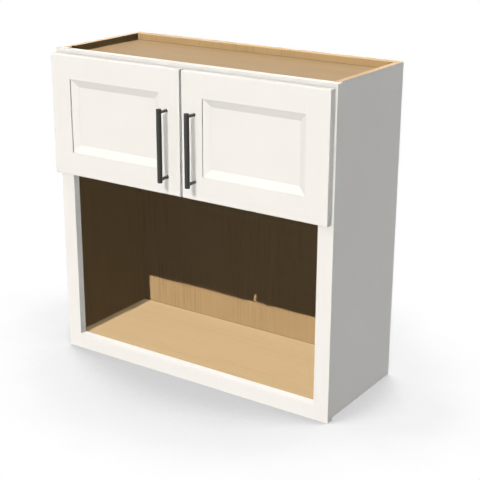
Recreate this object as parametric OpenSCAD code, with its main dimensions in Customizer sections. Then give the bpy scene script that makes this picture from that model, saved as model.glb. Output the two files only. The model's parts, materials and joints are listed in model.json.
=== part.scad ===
/* [Cabinet box] */
// Width across the face frame
cabinet_w = 762; // [500:1:914]
// Height of the cabinet
cabinet_h = 762; // [720:1:1060]
// Depth from the face frame's front to the wall, without the doors
cabinet_d = 304.8; // [280:1:610]
// Thickness of the end panels and of the flat panels between them
panel_t = 12.7; // [12:0.1:19]
// Depth of the grooves that hold the flat panels
panel_groove = 6.35; // [3:0.05:7]
// How far the top panel lies below the cabinet's top edge
top_recess = 15.9; // [6:0.1:25]
// How far the floor and the deck lie below the rail in front of them
floor_drop = 2.1; // [0:0.1:5]
// Thickness of the back panel
back_t = 3.2; // [3:0.1:6]
// Height of the hang rails behind the back panel
hang_rail_h = 76.2; // [50:0.1:90]
// Thickness of the hang rails
hang_rail_t = 19; // [16:0.1:20]

/* [Face frame] */
// Thickness of the stiles and rails
frame_t = 19.05; // [18:0.05:22]
// Face width of the stiles and rails
frame_w = 38.1; // [36:0.1:45]
// How far the frame stands past each end panel
frame_overhang = 6.35; // [0:0.05:7]
// Depth of the groove in a stile's back that holds the end panel
stile_groove = 4; // [2:0.1:6]
// Height of the open bay, from the bottom rail to the middle rail
bay_h = 422.3; // [380:0.1:430]

/* [Doors] */
// Height of a door
door_h = 288.1; // [285:0.1:295]
// Thickness of a door
door_t = 19.05; // [18:0.05:22]
// Gap between a closed door's back and the face frame
door_gap = 3; // [3:0.1:3.5]
// Gap between the two doors
meeting_gap = 6.35; // [3:0.05:8]
// Part of the stile that shows beside a closed door
side_reveal = 3.175; // [3.1:0.005:3.3]
// Part of the top rail that shows above the doors
top_reveal = 9.1; // [3:0.05:10]
// Width of the flat face of a door's stiles and rails
door_face_w = 56.1; // [50:0.05:65]
// Width of the bevel inside the flat face
bevel_w = 18; // [12:0.05:22]
// Small step down from the flat face to the bevel
bevel_step = 3; // [0.8:0.1:4]
// Depth of the bevel's inner edge below the flat face
bevel_depth = 9; // [6:0.1:9]
// Depth of the centre panel's face below the flat face
panel_recess = 9.4; // [9.1:0.1:9.8]
// Thickness of the centre panel
door_panel_t = 6.35; // [6:0.05:7]
// Depth of the grooves round the centre panel
door_groove = 9.5; // [7:0.1:11]
// Radius of the door's outer edges
door_edge_r = 2; // [1:0.1:3]

/* [Pulls] */
// Length of the bar
pull_bar_l = 168; // [160:1:190]
// Radius of the bar
pull_bar_r = 5.9; // [5:0.1:6.5]
// Distance from the door's face to the bar's middle line
pull_reach = 27.6; // [24:0.1:36]
// Distance between the two posts
pull_spacing = 152.4; // [128:0.1:152.4]
// Radius of a post
pull_post_r = 3.5; // [3.2:0.1:4.5]
// Distance from the door's meeting edge to the bar's middle line
pull_inset = 34.925; // [25:0.005:40]
// Height of the lower post above the door's bottom edge
pull_rise = 41.8; // [40:0.1:60]

/* [Hinges] */
// Distance from a door's top or bottom edge to the middle of its hinge
hinge_inset = 76.2; // [70:0.1:85]
// Radius of the cup bored into the door
cup_r = 17.5; // [17.5:0.1:17.6]
// Wood left between the cup and the door's outer edge
cup_tab = 7.8; // [7.8:0.1:7.9]
// Depth of the bore for the cup
cup_depth = 11.8; // [11.8:0.1:12.5]
// Radius of the two pivot pins
pin_r = 1.25; // [1:0.05:1.3]
// Radial clearance of the link on its pins
pin_clearance = 0.05; // [0.02:0.01:0.09]

/* [Wall fixing] */
// Distance between the two wall screw holes, one stud spacing
wall_hole_spacing = 406.4; // [300:0.1:420]
// Radius of a wall screw hole
wall_hole_r = 2.5; // [2:0.1:4]
// Distance of the holes below the cabinet's top
wall_hole_drop = 50.8; // [45:0.1:60]

/* [Hidden] */
$fn = 64;

white_paint = [0.96, 0.95, 0.92];
maple = [0.84, 0.71, 0.53];
dark_metal = [0.27, 0.27, 0.25];
steel = [0.75, 0.75, 0.76];
clear_rubber = [0.85, 0.87, 0.88];

// Depth planes: the wall is at the largest y and the pull bars reach the smallest
whole_d = cabinet_d + door_gap + door_t + pull_reach + pull_bar_r;
wall_y = whole_d / 2;
face_y = wall_y - cabinet_d;
frame_back_y = face_y + frame_t;
back_face_y = wall_y - hang_rail_t - back_t;
door_back_y = face_y - door_gap;
door_front_y = door_back_y - door_t;
pull_y = door_front_y - pull_reach;

// Planes across the cabinet
frame_edge_x = cabinet_w / 2;
stile_inner_x = frame_edge_x - frame_w;
end_outer_x = frame_edge_x - frame_overhang;
end_inner_x = end_outer_x - panel_t;
groove_x = end_inner_x + panel_groove;

// Heights
floor_top_z = frame_w - floor_drop;
middle_rail_z = frame_w + bay_h;
deck_top_z = middle_rail_z + frame_w - floor_drop;
top_panel_z = cabinet_h - top_recess;
wall_hole_z = cabinet_h - wall_hole_drop;
groove_play = 0.5;

// Door planes, for the right door
door_edge_x = frame_edge_x - side_reveal;
meeting_x = meeting_gap / 2;
door_w = door_edge_x - meeting_x;
door_top_z = cabinet_h - top_reveal;
door_bottom_z = door_top_z - door_h;
member_w = door_face_w + bevel_w;
door_panel_play = 1.5;
bumper_r = 4;
bumper_t = 2.7;
bumper_inset = 12;

// Pocket screws that pull the rails against the stiles
pocket_angle = 15;
pocket_r = 4.75;
pocket_floor = 10;
pocket_run = 60;
pocket_screw_r = 1.9;
pocket_screw_bite = 22;
pocket_head_r = 3.9;
pocket_head_h = 2.5;

// Hinge pivots in plan: the base pin by the stile's edge, the cup pin inside the door's bore
hinge_heights = [door_bottom_z + hinge_inset, door_top_z - hinge_inset];
base_pin = [stile_inner_x - 7.4, face_y + 2.6];
link_elbow = [stile_inner_x + 6.9, face_y - 9.9];
cup_pin = [door_edge_x - 17.2, door_back_y - 2.6];
cup_x = door_edge_x - cup_tab - cup_r;
cup_wall = 1;
cup_floor_y = door_back_y - cup_depth + cup_wall;
link_r = 2.3;
link_bar_half = 1.9;
link_half_h = 2.8;
ear_r = 2.4;
lug_r = 2.6;
ear_inner_z = 3.1;
ear_outer_z = 5.5;
plate_t = 2.2;
plate_half_h = 19;
plate_front = 2.2;
plate_back = 17.2;
base_screw_z = 12;
base_screw_y = face_y + 11;
base_screw_r = 1.9;
base_screw_bite = 16;
base_head_r = 3.6;
base_head_h = 1.8;
flange_t = 1.2;
flange_r = 19;
wing_r = 6;
wing_x = -9.5;
cup_screw_z = 22.5;
cup_screw_r = 1.75;
cup_screw_bite = 12;
cup_head_r = 3.2;
arm_notch_half = 7.5;

// Pull fixing
pull_x = meeting_x + pull_inset;
pull_heights = [door_bottom_z + pull_rise, door_bottom_z + pull_rise + pull_spacing];
pull_socket = 3;
pull_chamfer = 0.8;
pull_screw_r = 2;
pull_screw_hole_r = 2.3;
pull_screw_bite = 12;
pull_head_r = 4.5;
pull_head_h = 2;

// A block between two corners
module block(low, high) {
    translate(low)
        cube(high - low);
}

// The same piece on both sides of the cabinet
module on_left() {
    mirror([1, 0, 0])
        children();
}

// A cylinder along x from one place to another
module rod_x(r, from_x, to_x) {
    translate([from_x, 0, 0])
        rotate([0, 90, 0])
            cylinder(r = r, h = to_x - from_x);
}

// A cylinder along y from one place to another
module rod_y(r, from_y, to_y) {
    translate([0, from_y, 0])
        rotate([-90, 0, 0])
            cylinder(r = r, h = to_y - from_y);
}

// Cabinet box

// Grooves across an end panel for a flat panel whose top is at top_z
module panel_groove_cut(top_z) {
    block([end_inner_x, frame_back_y, top_z - panel_t],
          [groove_x + groove_play, back_face_y, top_z]);
}

module end_panel() {
    difference() {
        block([end_inner_x, frame_back_y - stile_groove, 0], [end_outer_x, wall_y, cabinet_h]);
        panel_groove_cut(floor_top_z);
        panel_groove_cut(deck_top_z);
        panel_groove_cut(top_panel_z);
        block([end_inner_x - 1, back_face_y, -1],
              [groove_x + groove_play, back_face_y + back_t, cabinet_h + 1]);
    }
}

module right_end_panel() {
    color(white_paint)
        end_panel();
}

module left_end_panel() {
    color(white_paint)
        on_left()
            end_panel();
}

// A flat panel across the box, seated in the end panels' grooves
module flat_panel(top_z) {
    block([-groove_x, frame_back_y, top_z - panel_t], [groove_x, back_face_y, top_z]);
}

module top_panel() {
    color(maple)
        flat_panel(top_panel_z);
}

module microwave_floor() {
    color(maple)
        flat_panel(floor_top_z);
}

module cupboard_deck() {
    color(maple)
        flat_panel(deck_top_z);
}

// Holes through the back panel and the top hang rail for the wall screws
module wall_holes() {
    for (side = [-1, 1])
        translate([side * wall_hole_spacing / 2, 0, wall_hole_z])
            rod_y(wall_hole_r, back_face_y - 1, wall_y + 1);
}

module back_panel() {
    color(maple)
        difference() {
            block([-groove_x, back_face_y, 0], [groove_x, back_face_y + back_t, cabinet_h]);
            wall_holes();
        }
}

module hang_rail(low_z) {
    block([-end_inner_x, back_face_y + back_t, low_z], [end_inner_x, wall_y, low_z + hang_rail_h]);
}

module top_hang_rail() {
    color(maple)
        difference() {
            hang_rail(cabinet_h - hang_rail_h);
            wall_holes();
        }
}

module bottom_hang_rail() {
    color(maple)
        hang_rail(0);
}

// Face frame

// Places a pocket screw at the right stile's inner edge, pointing into the rail
module at_pocket(z) {
    translate([stile_inner_x, face_y + frame_t / 2, z])
        rotate([0, 0, -pocket_angle])
            rotate([0, -90, 0])
                children();
}

function rail_screw_heights(low_z) = [low_z + frame_w / 4, low_z + 3 * frame_w / 4];

rail_heights = [0, middle_rail_z, cabinet_h - frame_w];

// What the drill takes away for one pocket screw
module pocket_cut() {
    translate([0, 0, -pocket_screw_bite])
        cylinder(r = pocket_screw_r, h = pocket_screw_bite + pocket_floor + 1);
    translate([0, 0, pocket_floor])
        cylinder(r = pocket_r, h = pocket_run);
}

module pocket_screw() {
    translate([0, 0, -pocket_screw_bite])
        cylinder(r = pocket_screw_r, h = pocket_screw_bite + pocket_floor);
    translate([0, 0, pocket_floor])
        cylinder(r = pocket_head_r, h = pocket_head_h);
}

module frame_stile() {
    difference() {
        block([stile_inner_x, face_y, 0], [frame_edge_x, frame_back_y, cabinet_h]);
        block([end_inner_x, frame_back_y - stile_groove, -1],
              [end_outer_x, frame_back_y + 1, cabinet_h + 1]);
        for (low_z = rail_heights)
            for (z = rail_screw_heights(low_z))
                at_pocket(z)
                    pocket_cut();
        for (z = hinge_heights)
            for (side = [-1, 1])
                translate([0, base_screw_y, z + side * base_screw_z])
                    rod_x(base_screw_r, stile_inner_x - 1, stile_inner_x + base_screw_bite);
    }
}

module right_frame_stile() {
    color(white_paint)
        frame_stile();
}

module left_frame_stile() {
    color(white_paint)
        on_left()
            frame_stile();
}

module frame_rail(low_z) {
    difference() {
        block([-stile_inner_x, face_y, low_z], [stile_inner_x, frame_back_y, low_z + frame_w]);
        for (z = rail_screw_heights(low_z)) {
            at_pocket(z)
                pocket_cut();
            on_left()
                at_pocket(z)
                    pocket_cut();
        }
    }
}

module top_frame_rail() {
    color(white_paint)
        frame_rail(cabinet_h - frame_w);
}

module middle_frame_rail() {
    color(white_paint)
        frame_rail(middle_rail_z);
}

module bottom_frame_rail() {
    color(white_paint)
        frame_rail(0);
}

module frame_pocket_screws() {
    color(steel)
        for (low_z = rail_heights)
            for (z = rail_screw_heights(low_z)) {
                at_pocket(z)
                    pocket_screw();
                on_left()
                    at_pocket(z)
                        pocket_screw();
            }
}

// Hinges, drawn for the right door

// Draws its children in plan as two thin plates, one above and one below the hinge's middle at z
module both_ears(z) {
    for (low_z = [ear_inner_z, -ear_outer_z])
        translate([0, 0, z + low_z])
            linear_extrude(ear_outer_z - ear_inner_z)
                children();
}

module base_plate_blank(z) {
    block([stile_inner_x - plate_t, face_y + plate_front, z - plate_half_h],
          [stile_inner_x, face_y + plate_back, z + plate_half_h]);
}

module hinge_base(z) {
    difference() {
        union() {
            base_plate_blank(z);
            both_ears(z) {
                translate(base_pin)
                    circle(r = ear_r);
                translate([base_pin[0], base_pin[1] - ear_r])
                    square([stile_inner_x - plate_t / 2 - base_pin[0], 2 * ear_r]);
            }
        }
        translate([base_pin[0], base_pin[1], z - ear_outer_z - 1])
            cylinder(r = pin_r, h = 2 * ear_outer_z + 2);
        for (side = [-1, 1])
            translate([0, base_screw_y, z + side * base_screw_z])
                rod_x(base_screw_r, stile_inner_x - plate_t - 1, stile_inner_x + 1);
    }
}

module hinge_base_screws() {
    for (z = hinge_heights)
        for (side = [-1, 1])
            translate([0, base_screw_y, z + side * base_screw_z]) {
                rod_x(base_screw_r, stile_inner_x - plate_t, stile_inner_x + base_screw_bite);
                rod_x(base_head_r, stile_inner_x - plate_t - base_head_h, stile_inner_x - plate_t);
            }
}

// The pins of both hinges at one pivot
module hinge_pins(pivot) {
    for (z = hinge_heights)
        translate([pivot[0], pivot[1], z - ear_outer_z])
            cylinder(r = pin_r, h = 2 * ear_outer_z);
}

// A straight bar in plan with the given half width
module bar_2d(from, to, half) {
    run = to - from;
    translate(from)
        rotate(atan2(run[1], run[0]))
            translate([0, -half])
                square([norm(run), 2 * half]);
}

module hinge_link(z) {
    translate([0, 0, z - link_half_h])
        linear_extrude(2 * link_half_h)
            difference() {
                union() {
                    bar_2d(base_pin, link_elbow, link_bar_half);
                    bar_2d(link_elbow, cup_pin, link_bar_half);
                    for (end = [base_pin, link_elbow, cup_pin])
                        translate(end)
                            circle(r = link_r);
                }
                for (pivot = [base_pin, cup_pin])
                    translate(pivot)
                        circle(r = pin_r + pin_clearance);
            }
}

// The cup's flange, seen from behind the door: two screw wings, open where the link comes out
module flange_2d() {
    difference() {
        union() {
            circle(r = flange_r);
            for (side = [-1, 1])
                translate([wing_x, side * cup_screw_z])
                    circle(r = wing_r);
            translate([wing_x - wing_r, -cup_screw_z])
                square([2 * wing_r, 2 * cup_screw_z]);
        }
        circle(r = cup_r - cup_wall);
        translate([-2 * flange_r, -arm_notch_half])
            square([2 * flange_r, 2 * arm_notch_half]);
        for (side = [-1, 1])
            translate([wing_x, side * cup_screw_z])
                circle(r = cup_head_r);
    }
}

module hinge_cup(z) {
    translate([cup_x, 0, z])
        difference() {
            union() {
                rod_y(cup_r, door_back_y - cup_depth, door_back_y);
                translate([0, door_back_y + flange_t, 0])
                    rotate([90, 0, 0])
                        linear_extrude(flange_t)
                            flange_2d();
            }
            rod_y(cup_r - cup_wall, cup_floor_y, door_back_y + flange_t + 1);
        }
    difference() {
        both_ears(z) {
            translate(cup_pin)
                circle(r = lug_r);
            translate([cup_pin[0] - lug_r, cup_floor_y])
                square([2 * lug_r, cup_pin[1] - cup_floor_y]);
        }
        translate([cup_pin[0], cup_pin[1], z - ear_outer_z - 1])
            cylinder(r = pin_r, h = 2 * ear_outer_z + 2);
    }
}

module hinge_cup_screws() {
    for (z = hinge_heights)
        for (side = [-1, 1])
            translate([cup_x + wing_x, 0, z + side * cup_screw_z]) {
                rod_y(cup_screw_r, door_back_y - cup_screw_bite, door_back_y);
                rod_y(cup_head_r, door_back_y, door_back_y + flange_t);
            }
}

module left_upper_hinge_base() {
    color(steel)
        on_left()
            hinge_base(hinge_heights[1]);
}

module left_lower_hinge_base() {
    color(steel)
        on_left()
            hinge_base(hinge_heights[0]);
}

module right_upper_hinge_base() {
    color(steel)
        hinge_base(hinge_heights[1]);
}

module right_lower_hinge_base() {
    color(steel)
        hinge_base(hinge_heights[0]);
}

module left_hinge_base_screws() {
    color(steel)
        on_left()
            hinge_base_screws();
}

module right_hinge_base_screws() {
    color(steel)
        hinge_base_screws();
}

module left_hinge_base_pins() {
    color(steel)
        on_left()
            hinge_pins(base_pin);
}

module right_hinge_base_pins() {
    color(steel)
        hinge_pins(base_pin);
}

module left_upper_hinge_link() {
    color(steel)
        on_left()
            hinge_link(hinge_heights[1]);
}

module left_lower_hinge_link() {
    color(steel)
        on_left()
            hinge_link(hinge_heights[0]);
}

module right_upper_hinge_link() {
    color(steel)
        hinge_link(hinge_heights[1]);
}

module right_lower_hinge_link() {
    color(steel)
        hinge_link(hinge_heights[0]);
}

module left_upper_hinge_cup() {
    color(steel)
        on_left()
            hinge_cup(hinge_heights[1]);
}

module left_lower_hinge_cup() {
    color(steel)
        on_left()
            hinge_cup(hinge_heights[0]);
}

module right_upper_hinge_cup() {
    color(steel)
        hinge_cup(hinge_heights[1]);
}

module right_lower_hinge_cup() {
    color(steel)
        hinge_cup(hinge_heights[0]);
}

module left_hinge_cup_pins() {
    color(steel)
        on_left()
            hinge_pins(cup_pin);
}

module right_hinge_cup_pins() {
    color(steel)
        hinge_pins(cup_pin);
}

module left_hinge_cup_screws() {
    color(steel)
        on_left()
            hinge_cup_screws();
}

module right_hinge_cup_screws() {
    color(steel)
        hinge_cup_screws();
}

// Doors, drawn for the right door

// Section of a door's stile or rail: depth from the front, then distance from the outer edge
module member_2d() {
    polygon([
        [0, 0],
        [0, door_face_w],
        [bevel_step, door_face_w],
        [bevel_depth, member_w],
        [panel_recess, member_w],
        [panel_recess, member_w - door_groove],
        [panel_recess + door_panel_t, member_w - door_groove],
        [panel_recess + door_panel_t, member_w],
        [door_t, member_w],
        [door_t, 0]
    ]);
}

module rounded_2d(size, r) {
    translate([r, 0])
        square([size[0] - 2 * r, size[1]]);
    translate([0, r])
        square([size[0], size[1] - 2 * r]);
    for (x = [r, size[0] - r])
        for (y = [r, size[1] - r])
            translate([x, y])
                circle(r = r);
}

// The whole door as one board with its outer edges rounded
module door_board() {
    intersection() {
        translate([meeting_x, door_front_y, door_bottom_z])
            linear_extrude(door_h)
                rounded_2d([door_w, door_t], door_edge_r);
        translate([meeting_x, door_front_y, door_bottom_z])
            rotate([90, 0, 90])
                linear_extrude(door_w)
                    rounded_2d([door_t, door_h], door_edge_r);
    }
}

// A stile's bar, with its outer edge on the door's meeting edge
module stile_bar() {
    translate([meeting_x, door_front_y, door_bottom_z])
        mirror([1, -1, 0])
            linear_extrude(door_h)
                member_2d();
}

// The same bar at the door's hinge edge
module hinge_stile_bar() {
    translate([meeting_x + door_edge_x, 0, 0])
        mirror([1, 0, 0])
            stile_bar();
}

// A rail's bar, from one stile's flat face to the other's, along the door's bottom edge
module rail_bar() {
    translate([meeting_x + door_face_w, door_front_y, door_bottom_z])
        rotate([90, 0, 90])
            linear_extrude(door_w - 2 * door_face_w)
                member_2d();
}

module door_hinge_stile() {
    difference() {
        intersection() {
            door_board();
            hinge_stile_bar();
        }
        for (z = hinge_heights) {
            translate([cup_x, 0, z])
                rod_y(cup_r, door_back_y - cup_depth, door_back_y + 1);
            for (side = [-1, 1])
                translate([cup_x + wing_x, 0, z + side * cup_screw_z])
                    rod_y(cup_screw_r, door_back_y - cup_screw_bite, door_back_y + 1);
        }
    }
}

module door_pull_stile() {
    difference() {
        intersection() {
            door_board();
            stile_bar();
        }
        for (z = pull_heights)
            translate([pull_x, 0, z])
                rod_y(pull_screw_hole_r, door_front_y - 1, door_back_y + 1);
    }
}

// A rail whose ends are cut to fit over the stiles' bevels and into their grooves
module door_bottom_rail() {
    difference() {
        intersection() {
            door_board();
            rail_bar();
        }
        stile_bar();
        hinge_stile_bar();
    }
}

module door_top_rail() {
    translate([0, 0, door_bottom_z + door_top_z])
        mirror([0, 0, 1])
            door_bottom_rail();
}

module door_panel() {
    margin = member_w - door_groove + door_panel_play;
    block([meeting_x + margin, door_front_y + panel_recess, door_bottom_z + margin],
          [door_edge_x - margin, door_front_y + panel_recess + door_panel_t, door_top_z - margin]);
}

module door_bumpers() {
    for (z = [door_bottom_z + bumper_inset, door_top_z - bumper_inset])
        translate([meeting_x + bumper_inset, 0, z])
            rod_y(bumper_r, door_back_y, door_back_y + bumper_t);
}

module left_door_hinge_stile() {
    color(white_paint)
        on_left()
            door_hinge_stile();
}

module left_door_pull_stile() {
    color(white_paint)
        on_left()
            door_pull_stile();
}

module left_door_top_rail() {
    color(white_paint)
        on_left()
            door_top_rail();
}

module left_door_bottom_rail() {
    color(white_paint)
        on_left()
            door_bottom_rail();
}

module left_door_panel() {
    color(white_paint)
        on_left()
            door_panel();
}

module left_door_bumpers() {
    color(clear_rubber)
        on_left()
            door_bumpers();
}

module right_door_hinge_stile() {
    color(white_paint)
        door_hinge_stile();
}

module right_door_pull_stile() {
    color(white_paint)
        door_pull_stile();
}

module right_door_top_rail() {
    color(white_paint)
        door_top_rail();
}

module right_door_bottom_rail() {
    color(white_paint)
        door_bottom_rail();
}

module right_door_panel() {
    color(white_paint)
        door_panel();
}

module right_door_bumpers() {
    color(clear_rubber)
        door_bumpers();
}

// Pulls, drawn for the right door

module pull_bar() {
    middle_z = (pull_heights[0] + pull_heights[1]) / 2;
    difference() {
        translate([pull_x, pull_y, middle_z - pull_bar_l / 2])
            rotate_extrude()
                polygon([
                    [0, 0],
                    [pull_bar_r - pull_chamfer, 0],
                    [pull_bar_r, pull_chamfer],
                    [pull_bar_r, pull_bar_l - pull_chamfer],
                    [pull_bar_r - pull_chamfer, pull_bar_l],
                    [0, pull_bar_l]
                ]);
        for (z = pull_heights)
            translate([pull_x, 0, z])
                rod_y(pull_post_r, pull_y + pull_bar_r - pull_socket, door_front_y);
    }
}

module pull_posts() {
    for (z = pull_heights)
        translate([pull_x, 0, z])
            difference() {
                rod_y(pull_post_r, pull_y + pull_bar_r - pull_socket, door_front_y);
                rod_y(pull_screw_r, door_front_y - pull_screw_bite, door_front_y + 1);
            }
}

module pull_screws() {
    for (z = pull_heights)
        translate([pull_x, 0, z]) {
            rod_y(pull_screw_r, door_front_y - pull_screw_bite, door_back_y);
            rod_y(pull_head_r, door_back_y, door_back_y + pull_head_h);
        }
}

module left_pull_bar() {
    color(dark_metal)
        on_left()
            pull_bar();
}

module left_pull_posts() {
    color(dark_metal)
        on_left()
            pull_posts();
}

module left_pull_screws() {
    color(steel)
        on_left()
            pull_screws();
}

module right_pull_bar() {
    color(dark_metal)
        pull_bar();
}

module right_pull_posts() {
    color(dark_metal)
        pull_posts();
}

module right_pull_screws() {
    color(steel)
        pull_screws();
}

left_end_panel();
right_end_panel();
top_panel();
microwave_floor();
cupboard_deck();
back_panel();
top_hang_rail();
bottom_hang_rail();
left_frame_stile();
right_frame_stile();
top_frame_rail();
middle_frame_rail();
bottom_frame_rail();
frame_pocket_screws();
left_upper_hinge_base();
left_lower_hinge_base();
right_upper_hinge_base();
right_lower_hinge_base();
left_hinge_base_screws();
right_hinge_base_screws();
left_hinge_base_pins();
right_hinge_base_pins();
left_upper_hinge_link();
left_lower_hinge_link();
right_upper_hinge_link();
right_lower_hinge_link();
left_door_hinge_stile();
left_door_pull_stile();
left_door_top_rail();
left_door_bottom_rail();
left_door_panel();
left_upper_hinge_cup();
left_lower_hinge_cup();
left_hinge_cup_pins();
left_hinge_cup_screws();
left_door_bumpers();
left_pull_bar();
left_pull_posts();
left_pull_screws();
right_door_hinge_stile();
right_door_pull_stile();
right_door_top_rail();
right_door_bottom_rail();
right_door_panel();
right_upper_hinge_cup();
right_lower_hinge_cup();
right_hinge_cup_pins();
right_hinge_cup_screws();
right_door_bumpers();
right_pull_bar();
right_pull_posts();
right_pull_screws();
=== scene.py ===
import json
import math
import bmesh
import bpy
from mathutils import Matrix, Vector

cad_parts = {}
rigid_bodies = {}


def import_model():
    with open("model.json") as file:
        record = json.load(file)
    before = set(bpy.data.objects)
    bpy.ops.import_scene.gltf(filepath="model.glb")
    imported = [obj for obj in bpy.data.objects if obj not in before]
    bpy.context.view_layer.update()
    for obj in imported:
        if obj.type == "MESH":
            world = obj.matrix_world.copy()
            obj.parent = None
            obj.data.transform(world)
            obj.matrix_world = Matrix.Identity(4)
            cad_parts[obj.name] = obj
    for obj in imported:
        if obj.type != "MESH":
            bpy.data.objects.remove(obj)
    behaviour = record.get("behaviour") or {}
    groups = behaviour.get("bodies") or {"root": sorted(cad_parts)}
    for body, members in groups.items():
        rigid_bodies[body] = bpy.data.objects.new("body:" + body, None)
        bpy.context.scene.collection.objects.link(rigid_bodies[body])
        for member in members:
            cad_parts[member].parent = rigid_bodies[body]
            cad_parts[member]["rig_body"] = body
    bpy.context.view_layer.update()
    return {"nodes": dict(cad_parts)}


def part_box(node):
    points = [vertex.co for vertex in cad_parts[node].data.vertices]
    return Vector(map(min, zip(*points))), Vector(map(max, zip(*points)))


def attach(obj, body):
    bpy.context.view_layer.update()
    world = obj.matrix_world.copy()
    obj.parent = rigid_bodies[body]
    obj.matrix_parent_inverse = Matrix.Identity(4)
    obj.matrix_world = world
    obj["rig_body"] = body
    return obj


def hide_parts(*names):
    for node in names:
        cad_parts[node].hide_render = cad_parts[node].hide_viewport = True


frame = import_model()
scene = bpy.context.scene
scene.view_settings.view_transform = "Standard"

# Camera
# It stands to the right of the cabinet and above it, at the photograph's angle.
# Its place, turn and lens were solved from the cabinet's own straight edges.
camera_place = Vector((1.4849, -2.0998, 1.2069))
camera_azimuth = math.radians(34.153)
camera_elevation = math.radians(18.991)
camera_roll = math.radians(0.177)
camera_lens = 85.323
view_reach = 60
camera = bpy.data.objects.new("camera", bpy.data.cameras.new("camera"))
camera.data.sensor_width = 36
camera.data.lens = camera_lens
camera.data.clip_end = view_reach
camera.matrix_world = (
    Matrix.Translation(camera_place)
    @ Matrix.Rotation(camera_azimuth, 4, "Z")
    @ Matrix.Rotation(math.pi / 2 - camera_elevation, 4, "X")
    @ Matrix.Rotation(camera_roll, 4, "Z")
)
scene.collection.objects.link(camera)
scene.camera = camera


# Floor, backdrop and lamps
# A plain white floor carries the cabinet, with a soft painted shadow close round its foot. All lamps are
# suns:
# a few from ahead and above give the shadows, and the others fill in the front, top, sides and back.
class Nodes:
    """A node tree and one output in it. Arithmetic on it adds Math nodes, and node() adds any other kind."""

    def __init__(self, tree, socket=None):
        self.tree = tree
        self.socket = socket

    def node(self, kind, settings=None, values=None, result=0):
        """Adds a node with its settings, then its sockets' values or links, and gives one of its outputs."""
        made = self.tree.nodes.new(kind)
        for name, value in (settings or {}).items():
            setattr(made, name, value)
        sockets = {socket.identifier: socket for socket in made.inputs}
        for name, value in (values or {}).items():
            for part in value if isinstance(value, list) else [value]:
                if isinstance(part, Nodes):
                    self.tree.links.new(part.socket, sockets[name])
                else:
                    sockets[name].default_value = part
        if not made.outputs:
            return None
        outputs = {socket.identifier: socket for socket in made.outputs}
        return Nodes(self.tree, outputs[result] if result in outputs else made.outputs[result])

    def maths(self, operation, first, second):
        """Adds a Math node."""
        return self.node("ShaderNodeMath", {"operation": operation}, {"Value": first, "Value_001": second})

    def __add__(self, other):
        return self.maths("ADD", self, other)

    def __radd__(self, other):
        return self.maths("ADD", other, self)

    def __sub__(self, other):
        return self.maths("SUBTRACT", self, other)

    def __rsub__(self, other):
        return self.maths("SUBTRACT", other, self)

    def __mul__(self, other):
        return self.maths("MULTIPLY", self, other)

    def __rmul__(self, other):
        return self.maths("MULTIPLY", other, self)

    def __truediv__(self, other):
        return self.maths("DIVIDE", self, other)


def start_material(name):
    """An empty material, and its tree to add nodes to."""
    material = bpy.data.materials.new(name)
    material.use_nodes = True
    material.node_tree.nodes.clear()
    return material, Nodes(material.node_tree)


def seen_directly(tree):
    """1 for what the camera sees straight on, in gloss or through something clear, and 0 for lighting."""
    path = {}
    for kind in ("Is Camera Ray", "Is Glossy Ray", "Is Transmission Ray"):
        path[kind] = tree.node("ShaderNodeLightPath", result=kind)
    straight = tree.maths("MAXIMUM", path["Is Camera Ray"], path["Is Glossy Ray"])
    return tree.maths("MAXIMUM", straight, path["Is Transmission Ray"])


def smooth_step(tree, value, low, high):
    """0 below low, 1 above high and a smooth slope between."""
    values = {"Value": value, "From Min": low, "From Max": high}
    return tree.node("ShaderNodeMapRange", {"interpolation_type": "SMOOTHSTEP"}, values, "Result")


floor_reach = 12
shadow_reach = 0.72
near_shadow = 0.27
near_range = (0.60, 0.93)
far_shadow = 0.105
far_range = (0.26, 0.40)
floor_grey = (0.30, 0.30, 0.30, 1)
# Painted shadow: the camera sees the floor as an emission, darkened where ambient occlusion finds the
# cabinet close.
floor_material, tree = start_material("white_floor")
openness = tree.node("ShaderNodeAmbientOcclusion", {"samples": 16}, {"Distance": shadow_reach}, "AO")
closeness = (1 - openness) * 2
near_shade = near_shadow * smooth_step(tree, closeness, *near_range)
far_shade = far_shadow * smooth_step(tree, closeness, *far_range)
shade = 1 - near_shade - far_shade
shade_color = tree.node("ShaderNodeCombineColor", values={"Red": shade, "Green": shade, "Blue": shade})
white_floor = tree.node("ShaderNodeEmission", values={"Color": shade_color})
lit_floor = tree.node("ShaderNodeBsdfDiffuse", values={"Color": floor_grey})
floor_mix = tree.node(
    "ShaderNodeMixShader",
    values={"Fac": seen_directly(tree), "Shader": lit_floor, "Shader_001": white_floor},
)
tree.node("ShaderNodeOutputMaterial", values={"Surface": floor_mix})
floor_shape = bmesh.new()
bmesh.ops.create_grid(floor_shape, x_segments=1, y_segments=1, size=floor_reach)
floor_mesh = bpy.data.meshes.new("floor")
floor_shape.to_mesh(floor_mesh)
floor_shape.free()
floor_mesh.materials.append(floor_material)
floor = bpy.data.objects.new("floor", floor_mesh)
scene.collection.objects.link(floor)

room_grey = (0.02, 0.02, 0.021, 1)
white = (1, 1, 1, 1)
world = bpy.data.worlds.new("white_room")
world.use_nodes = True
world.node_tree.nodes.clear()
scene.world = world
tree = Nodes(world.node_tree)
room_color = tree.node(
    "ShaderNodeMix",
    {"data_type": "RGBA"},
    {"Factor_Float": seen_directly(tree), "A_Color": room_grey, "B_Color": white},
    "Result_Color",
)
room = tree.node("ShaderNodeBackground", values={"Color": room_color})
tree.node("ShaderNodeOutputWorld", values={"Surface": room})


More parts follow.
